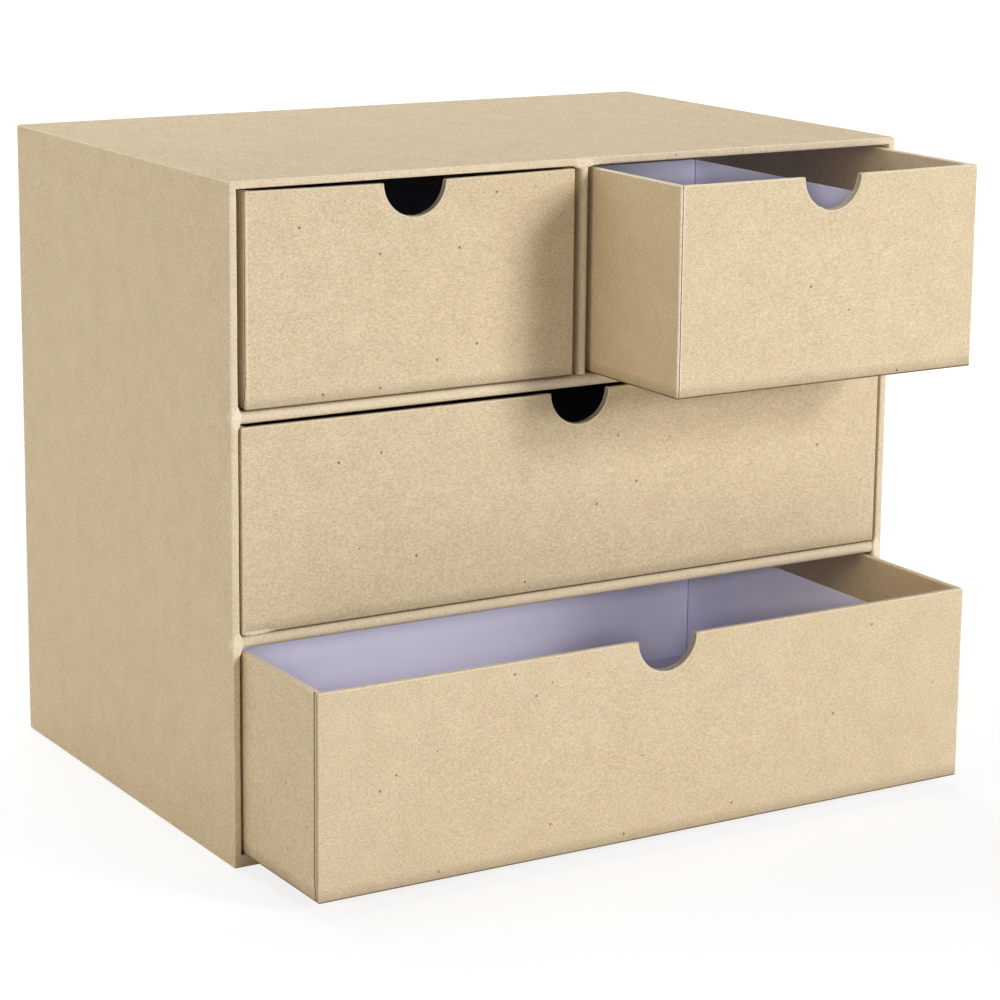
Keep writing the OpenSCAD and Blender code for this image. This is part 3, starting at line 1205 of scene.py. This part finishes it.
@dataclass
class Case(SubAssembly):
    """The shell of the chest, with its two shelves and its divider."""

    name: str = "case"
    back_lip: float = 9.0
    under_lip: float = 4.0
    under_gap: float = 0.2
    turn_in: float = 30.0
    side_bow: float = 0.45
    flat_bow: float = 0.25
    edge_radii: tuple[float, float] = (0.8, 1.0)
    edge: Swell = Swell(width=9, height=0.22)
    # Painted highlight along the case's front ring.
    rim_highlight: float = 0.36
    sheet_radius: float = 1.5
    sheet_edge: float = 0.12
    join_inset: float = 0.45
    join_pull: float = 2.2
    join_push: float = 0.15
    join_reach: float = 4.5
    pucker: tuple[float, float] = (6.0, 0.45)

    def build(self) -> None:
        """Builds every piece of the case."""
        self.build_cover()
        self.build_back_sheet()
        self.build_base_sheet()
        for node in ("lower_shelf", "upper_shelf"):
            self.build_shelf_cover(node)
        self.build_divider_cover()
        boards = [n for n in self.frame["nodes"] if n.endswith("_board") and "drawer" not in n]
        self.dress_boards(sorted(boards))

    def build_cover(self) -> None:
        """Wraps the sides and top in one sheet, turned over every edge."""
        low, high = box_of("case_wrap")
        _, back = box_of("case_back_sheet")
        sill = box_of("case_base_board")[1].z + KRAFT_THICKNESS
        wall = high.z - box_of("divider_wrap")[1].z
        cover = BoxCover(
            low=Vector((low.x, 0, 0)),
            high=Vector((high.x, high.z, back.y - low.y)),
            wall=wall,
            sill=sill,
            turn_in=self.turn_in,
            lip=self.back_lip,
            radii=self.edge_radii,
            seed=1.0,
            still=((0, -1, 0), (0, 0, -1)),
            bows=((0, -1, self.side_bow), (0, 1, self.flat_bow), (1, 1, self.flat_bow)),
            nudges=self._joins(wall, back.y - low.y),
            edge=self.edge,
            rim_highlight=self.rim_highlight,
        )
        shape = cover.build()
        self._open_underside(shape, cover)
        self.kraft_piece(
            thicken(shape, KRAFT_THICKNESS), "case_kraft_cover", "case_wrap",
            facing_front(INWARD * back.y),
        )

    def _joins(self, wall: float, depth: float) -> tuple[Nudge | Crumple, ...]:
        """Draws the front edge in a little, with puckers, where a shelf or the divider meets it."""
        joins = []
        for shelf in ("lower_shelf", "upper_shelf"):
            low, high = box_of(f"{shelf}_wrap")
            for side in (-1, 1):
                at = (side * (high.x - self.join_inset * wall), (low.z + high.z) / 2, depth)
                joins += self._join(at, -side * ACROSS)
        low, high = box_of("divider_wrap")
        at = ((low.x + high.x) / 2, high.z - self.join_inset * wall, depth)
        joins += self._join(at, -INWARD)
        return tuple(joins)

    def _join(self, at: tuple[float, float, float], inwards: Vector) -> list[Nudge | Crumple]:
        """Draws one point of the edge inwards and puckers the paper there."""
        push = inwards * self.join_pull + UP * self.join_push
        return [Nudge(at, tuple(push), self.join_reach), Crumple(at, *self.pucker)]

    def _open_underside(self, shape: bmesh.types.BMesh, cover: BoxCover) -> None:
        """Takes the sheet away under the base but for a narrow lip."""
        lip, low, high = self.under_lip, cover.low, cover.high
        slice_across(shape, ACROSS, (low.x + lip, high.x - lip))
        slice_across(shape, UP, (low.z + lip, high.z - lip))
        shape.normal_update()
        under = []
        for face in shape.faces:
            middle = face.calc_center_median()
            within = all(low[i] + lip < middle[i] < high[i] - lip for i in (0, 2))
            if within and middle.y < low.y + SLIVER and face.normal.dot(-INWARD) > SQUARE_ON:
                under.append(face)
        bmesh.ops.delete(shape, geom=under, context="FACES")

    def build_back_sheet(self) -> None:
        """Glues a sheet over the back, inside the turned-over edges of the cover."""
        low, high = box_of("case_back_sheet")
        inset_by = self.back_lip
        shape = flat_sheet(
            Vector((low.x + inset_by, low.z + inset_by, 0)),
            Vector((high.x - inset_by, high.z - inset_by, high.y - low.y)),
            self.sheet_radius, self.sheet_edge,
        )
        place = facing_front(INWARD * high.y)
        self.kraft_piece(shape, "case_back_kraft_sheet", "case_back_sheet", place)

    def build_base_sheet(self) -> None:
        """Glues a sheet under the base, inside the turned-over edges of the cover."""
        low, high = box_of("case_base_sheet")
        inset_by = (ACROSS + INWARD) * (self.under_lip + self.under_gap)
        shape = flat_sheet(low + inset_by, high - inset_by, self.sheet_radius, self.sheet_edge)
        self.kraft_piece(shape, "case_base_kraft_sheet", "case_base_sheet")

    def build_shelf_cover(self, shelf: str) -> None:
        """Folds a sheet round the front of one shelf."""
        low, high = box_of(f"{shelf}_wrap")
        cover = NosedCover(
            thickness=high.z - low.z, depth=high.y - low.y, length=high.x - low.x, seed=low.z,
        )
        self.kraft_piece(
            thicken(cover.build(), KRAFT_THICKNESS), f"{shelf}_kraft_cover", f"{shelf}_wrap",
            Matrix.Translation(low),
        )

    def build_divider_cover(self) -> None:
        """Folds a sheet round the front of the divider."""
        low, high = box_of("divider_wrap")
        cover = NosedCover(
            thickness=high.x - low.x, depth=high.y - low.y, length=high.z - low.z, seed=3.0,
        )
        upright = Matrix.Translation((high.x, low.y, low.z)) @ Matrix.Rotation(-math.pi / 2, 4, "Y")
        self.kraft_piece(
            thicken(cover.build(), KRAFT_THICKNESS), "divider_kraft_cover", "divider_wrap", upright,
        )


@dataclass
class Drawer(SubAssembly):
    """One drawer: board, kraft cover with a thumb notch, base sheet and lining.

    The notch is torn a little all round, in waves that are tear_size degrees and millimetres
    long, it flares over flare_span millimetres at the front face, and each burr in it has a
    middle and a half width in degrees and a depth in millimetres.
    """

    seed: float
    seam: Seam = Seam()
    burrs: tuple[tuple[float, float, float], ...] = ()
    nudges: tuple[Nudge | Crumple, ...] = ()
    notch_radius: float = 14.5
    notch_depth: float = 14.0
    notch_offset: float = 0.0
    notch_tear: float = 0.07
    tear_size: tuple[float, float] = (6.0, 30.0)
    punch_length: float = 20.0
    punch_steps: int = 160
    flare: float = 2.0
    flare_span: tuple[float, float] = (-0.2, 1.0)
    edge_radius: float = 0.62
    fold_radius: float = 0.5
    base_lip: float = 3.0
    base_gap: float = 0.15
    sheet_radius: float = 1.0
    sheet_edge: float = 0.1
    front_bow: float = 0.3
    side_bow: float = 0.2
    rim_rise: float = 0.3
    # Painted highlight along the drawer's rim.
    rim_highlight: float = 0.6
    # Painted shade along the foot of each side.
    foot_shade: float = 1.0

    def build(self) -> None:
        """Builds every piece of the drawer."""
        self.build_cover()
        self.build_base_sheet()
        self.build_lining()
        sides = ("front", "back", "left", "right", "floor")
        self.dress_boards(f"{self.name}_{side}_board" for side in sides)

    def build_cover(self) -> None:
        """Wraps the four sides in one strip and punches the notch through the front."""
        low, high = box_of(f"{self.name}_wrap")
        lining_low, lining_high = box_of(f"{self.name}_lining")
        wall = lining_low.x - low.x + KRAFT_THICKNESS
        low.z -= KRAFT_THICKNESS
        cover = BoxCover(
            low=low,
            high=high,
            wall=wall,
            sill=wall,
            turn_in=high.z - lining_high.z,
            lip=self.base_lip,
            radii=(self.edge_radius, self.edge_radius),
            fold_radius=self.fold_radius,
            seed=self.seed,
            still=((0, 0, -1),),
            bows=((1, -1, self.front_bow), (0, -1, self.side_bow), (0, 1, self.side_bow)),
            nudges=tuple(self._placed(n, low) for n in self.nudges),
            seam=self.seam,
            rim_rise=self.rim_rise,
            rim_highlight=self.rim_highlight,
            foot_shade=self.foot_shade,
        )
        shape = thicken(cover.build(), KRAFT_THICKNESS)
        shape = punch(shape, self._notch_punch(low, high), self.finishes.cut_edge)
        piece = self.kraft_piece(shape, f"{self.name}_kraft_cover", f"{self.name}_wrap")
        piece.data.materials.append(self.finishes.cut_edge)

    def _placed(self, nudge: Nudge | Crumple, low: Vector) -> Nudge | Crumple:
        """Moves a nudge given from the drawer's lower left front corner to its place."""
        return replace(nudge, at=tuple(low + Vector(nudge.at)))

    def _notch_punch(self, low: Vector, high: Vector) -> bmesh.types.BMesh:
        """Makes the round punch, flared at the front face, with the small burrs that it leaves."""
        stamp = bmesh.new()
        bmesh.ops.create_cone(
            stamp, cap_ends=True, segments=self.punch_steps, radius1=self.notch_radius,
            radius2=self.notch_radius, depth=self.punch_length,
        )
        flare_start, flare_end = self.flare_span
        tear_turn, tear_length = self.tear_size
        slice_across(stamp, UP, self.flare_span)
        for vert in stamp.verts:
            turn = math.degrees(math.atan2(vert.co.y, vert.co.x)) % 360
            tear = Vector((turn / tear_turn, self.seed, vert.co.z / tear_length))
            reach = self.notch_tear * noise.noise(tear)
            reach += self.flare * (min(flare_end, max(flare_start, vert.co.z)) - flare_start)
            for middle, width, depth in self.burrs:
                reach -= depth * max(0.0, 1 - abs(turn - middle) / width)
            scale = 1 + reach / self.notch_radius
            vert.co.x *= scale
            vert.co.y *= scale
        middle = (low.x + high.x) / 2 + self.notch_offset
        centre = Vector((middle, low.y, high.z - self.notch_depth + self.notch_radius))
        stamp.transform(facing_front(centre))
        return stamp

    def build_base_sheet(self) -> None:
        """Glues a sheet under the floor, inside the turned-under edge of the cover."""
        low, high = box_of(f"{self.name}_base_sheet")
        inset_by = (ACROSS + INWARD) * (self.base_lip + self.base_gap)
        shape = flat_sheet(low + inset_by, high - inset_by, self.sheet_radius, self.sheet_edge)
        self.kraft_piece(shape, f"{self.name}_base_kraft_sheet", f"{self.name}_base_sheet")

    def build_lining(self) -> None:
        """Lines the floor and the walls up to the turned-in cover."""
        low, high = box_of(f"{self.name}_lining")
        shape = thicken(TrayLining(low, high, self.seed).build(), LINING_THICKNESS)
        finish_piece(
            shape, f"{self.name}_pale_lining", self.finishes.lining, self.name,
            f"{self.name}_lining",
        )


# ---- The studio ------------------------------------------------------------------------------


def heading(azimuth: float, elevation: float) -> Vector:
    """Gives the way from the chest to a camera or lamp, with angles in degrees.

    Args:
        azimuth: 0 straight in front of the chest and 90 to its right.
        elevation: 0 level and 90 straight above.

    Returns:
        A vector of length 1.
    """
    turn, rise = math.radians(azimuth), math.radians(elevation)
    return Vector((
        math.sin(turn) * math.cos(rise), -math.cos(turn) * math.cos(rise), math.sin(rise),
    ))


@dataclass
class Lamp:
    """A soft oblong light that looks at one point, in metres, degrees and watts.

    Where only names a piece, the lamp lights that piece and nothing else.
    """

    name: str
    azimuth: float
    elevation: float
    distance: float
    width: float
    height: float
    power: float
    colour: tuple[float, float, float] = (1.0, 1.0, 1.0)
    only: str = ""
    target: tuple[float, float, float] = (0.0, -0.05, 0.13)

    def build(self) -> None:
        """Hangs the lamp and turns it to its target."""
        back = heading(self.azimuth, self.elevation)
        light = bpy.data.lights.new(self.name, "AREA")
        light.shape = "RECTANGLE"
        light.size = self.width
        light.size_y = self.height
        light.energy = self.power
        light.color = self.colour
        lamp = bpy.data.objects.new(self.name, light)
        lamp.rotation_mode = "QUATERNION"
        lamp.rotation_quaternion = back.to_track_quat("Z", "Y")
        lamp.location = Vector(self.target) + back * self.distance
        bpy.context.scene.collection.objects.link(lamp)
        if self.only:
            lit = bpy.data.collections.new(f"{self.name}_reach")
            lit.objects.link(bpy.data.objects[self.only])
            lamp.light_linking.receiver_collection = lit


@dataclass
class Studio:
    """A white table in a white room, lit from the right front, with softer light all round.

    The linings of the two drawers that stand open at rest have small lamps of their own.
    """

    room_light: float = 0.096
    floor_size: float = 12.0
    shadow_share: float = 0.3
    shadow_reach: tuple[float, float] = (0.45, 1.1)
    table_glow: float = 1.15
    table_colour: str = "#F4F3F1"
    table_gap: float = 0.0002
    lamps: tuple[Lamp, ...] = (
        Lamp("key_lamp", 30, 24, 3.0, 0.56, 0.56, 30.1, colour=(1.0, 0.975, 0.95)),
        Lamp("low_lamp", 29, 13.5, 3.0, 0.95, 0.33, 29.6, colour=(1.0, 0.975, 0.94)),
        Lamp("fill_lamp", -74, 14, 3.0, 1.0, 0.9, 18.5, colour=(1.0, 0.84, 0.6)),
        Lamp("upper_lining_lamp", -31.4, 13.4, 1.42, 0.15, 0.1, 13,
             only="upper_right_drawer_pale_lining"),
        Lamp("bottom_lining_lamp", -31.4, 13.4, 1.42, 0.15, 0.1, 7.7,
             only="bottom_drawer_pale_lining"),
        Lamp("bottom_right_lamp", 25.8, 14.1, 1.29, 0.3, 0.05, 1.3,
             only="bottom_drawer_pale_lining"),
        Lamp("back_lamp", 180, 64, 1.8, 1.0, 1.0, 18.2, colour=(1.0, 0.985, 0.96)),
        Lamp("left_lamp", -125, 15, 1.8, 1.2, 1.2, 7.0, colour=(0.88, 0.93, 1.0)),
    )

    def build(self) -> None:
        """Builds the room, the table and the lamps."""
        self._room()
        self._table()
        for lamp in self.lamps:
            lamp.build()
        bpy.context.scene.view_settings.view_transform = "Standard"

    def _room(self) -> None:
        """Lights the room evenly, and shows it white to the camera and in reflections."""
        world = bpy.data.worlds.new("white_room")
        bpy.context.scene.world = world
        graph = Graph(world)
        path = graph.add("ShaderNodeLightPath").outputs
        seen = graph.maths("MAXIMUM", path["Is Camera Ray"], path["Is Transmission Ray"])
        glow = graph.add("ShaderNodeBackground")
        glow.inputs["Color"].default_value = (1, 1, 1, 1)
        graph.feed(glow.inputs["Strength"], graph.spread(seen, 0, 1, self.room_light, 1))
        output = graph.add("ShaderNodeOutputWorld")
        graph.feed(output.inputs["Surface"], glow.outputs["Background"])

    def _table(self) -> None:
        """Lays a pale table that keeps a soft shadow of the chest."""
        graph = Graph(bpy.data.materials.new("white_table"))
        path = graph.add("ShaderNodeLightPath")
        matt = graph.add("ShaderNodeBsdfDiffuse")
        matt.inputs["Color"].default_value = linear(self.table_colour)
        glow = graph.add("ShaderNodeEmission")
        glow.inputs["Strength"].default_value = self.table_glow
        mix = graph.add("ShaderNodeMixShader")
        away = graph.add("ShaderNodeVectorMath", operation="LENGTH")
        graph.feed(away.inputs[0], graph.add("ShaderNodeTexCoord").outputs["Object"])
        near, far = self.shadow_reach
        kept = graph.spread(away.outputs["Value"], near, far, 1 - self.shadow_share, 1)
        share = graph.maths("MULTIPLY", path.outputs["Is Camera Ray"], kept)
        graph.feed(mix.inputs[0], share)
        graph.feed(mix.inputs[1], matt.outputs["BSDF"])
        graph.feed(mix.inputs[2], glow.outputs["Emission"])
        output = graph.add("ShaderNodeOutputMaterial")
        graph.feed(output.inputs["Surface"], mix.outputs["Shader"])
        shape = bmesh.new()
        bmesh.ops.create_grid(shape, x_segments=1, y_segments=1, size=self.floor_size / 2)
        table = as_object(shape, "table_top")
        table.data.materials.append(graph.owner)
        table.location.z = -self.table_gap


@dataclass
class Viewpoint:
    """The camera, with its place in metres, its angles in degrees and its lens in millimetres."""

    place: tuple[float, float, float] = (-0.6886, -1.1790, 0.4450)
    azimuth: float = -31.21
    elevation: float = 11.759
    roll: float = 0.568
    focal_length: float = 109.87
    shift: float = -0.10
    sensor_width: float = 36.0
    sight: tuple[float, float] = (0.05, 50.0)

    def build(self) -> None:
        """Sets the camera up and makes it the scene's own."""
        back, tilt = heading(self.azimuth, self.elevation), math.radians(self.roll)
        right = (-back).cross(UP).normalized()
        upright = back.cross(right)
        tilted_right = math.cos(tilt) * right + math.sin(tilt) * upright
        tilted_up = -math.sin(tilt) * right + math.cos(tilt) * upright
        lens = bpy.data.cameras.new("camera")
        lens.sensor_width = self.sensor_width
        lens.lens = self.focal_length
        lens.shift_y = self.shift
        lens.clip_start, lens.clip_end = self.sight
        camera = bpy.data.objects.new("camera", lens)
        camera.rotation_mode = "QUATERNION"
        axes = Matrix((tilted_right, tilted_up, back)).transposed()
        camera.rotation_quaternion = axes.to_quaternion()
        camera.location = self.place
        bpy.context.scene.collection.objects.link(camera)
        bpy.context.scene.camera = camera


def main() -> None:
    """Builds the camera, the chest and the studio."""
    logging.basicConfig(level=logging.INFO, format="%(name)s: %(message)s")
    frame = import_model()
    Viewpoint().build()
    finishes = Finishes()
    Case(frame, finishes).build()
    drawers = (
        Drawer(frame, finishes, "upper_left_drawer", seed=2.0,
               seam=Seam(0.74, slant=2.6, slant_height=10.0, gap=0.9, rub_and_highlight_width=1.0),
               burrs=((250.0, 5.0, 0.15),), rim_rise=0.7),
        Drawer(frame, finishes, "upper_right_drawer", seed=5.0,
               seam=Seam(0.74, slant=-0.1, gap=0.5, rub_and_highlight_width=0.5, on_front=True),
               burrs=((247.0, 4.0, 0.55),)),
        Drawer(frame, finishes, "middle_drawer", seed=7.0, burrs=((300.0, 6.0, 0.15),),
               nudges=(Crumple((6, 0, 0.9), 7.5, 0.55, grain=3.0, cuts=3),
                       Nudge((6, 0, 0.3), (0.0, -0.6, 0.3), 6.0))),
        Drawer(frame, finishes, "bottom_drawer", seed=9.0,
               seam=Seam(2.7, slant=-1.4, slant_height=8.0, gap=1.1, corner_darkening=0.5),
               burrs=((262.0, 5.0, 0.12),), notch_offset=3.4),
    )
    for drawer in drawers:
        drawer.build()
    Studio().build()


if __name__ == "__main__":
    main()
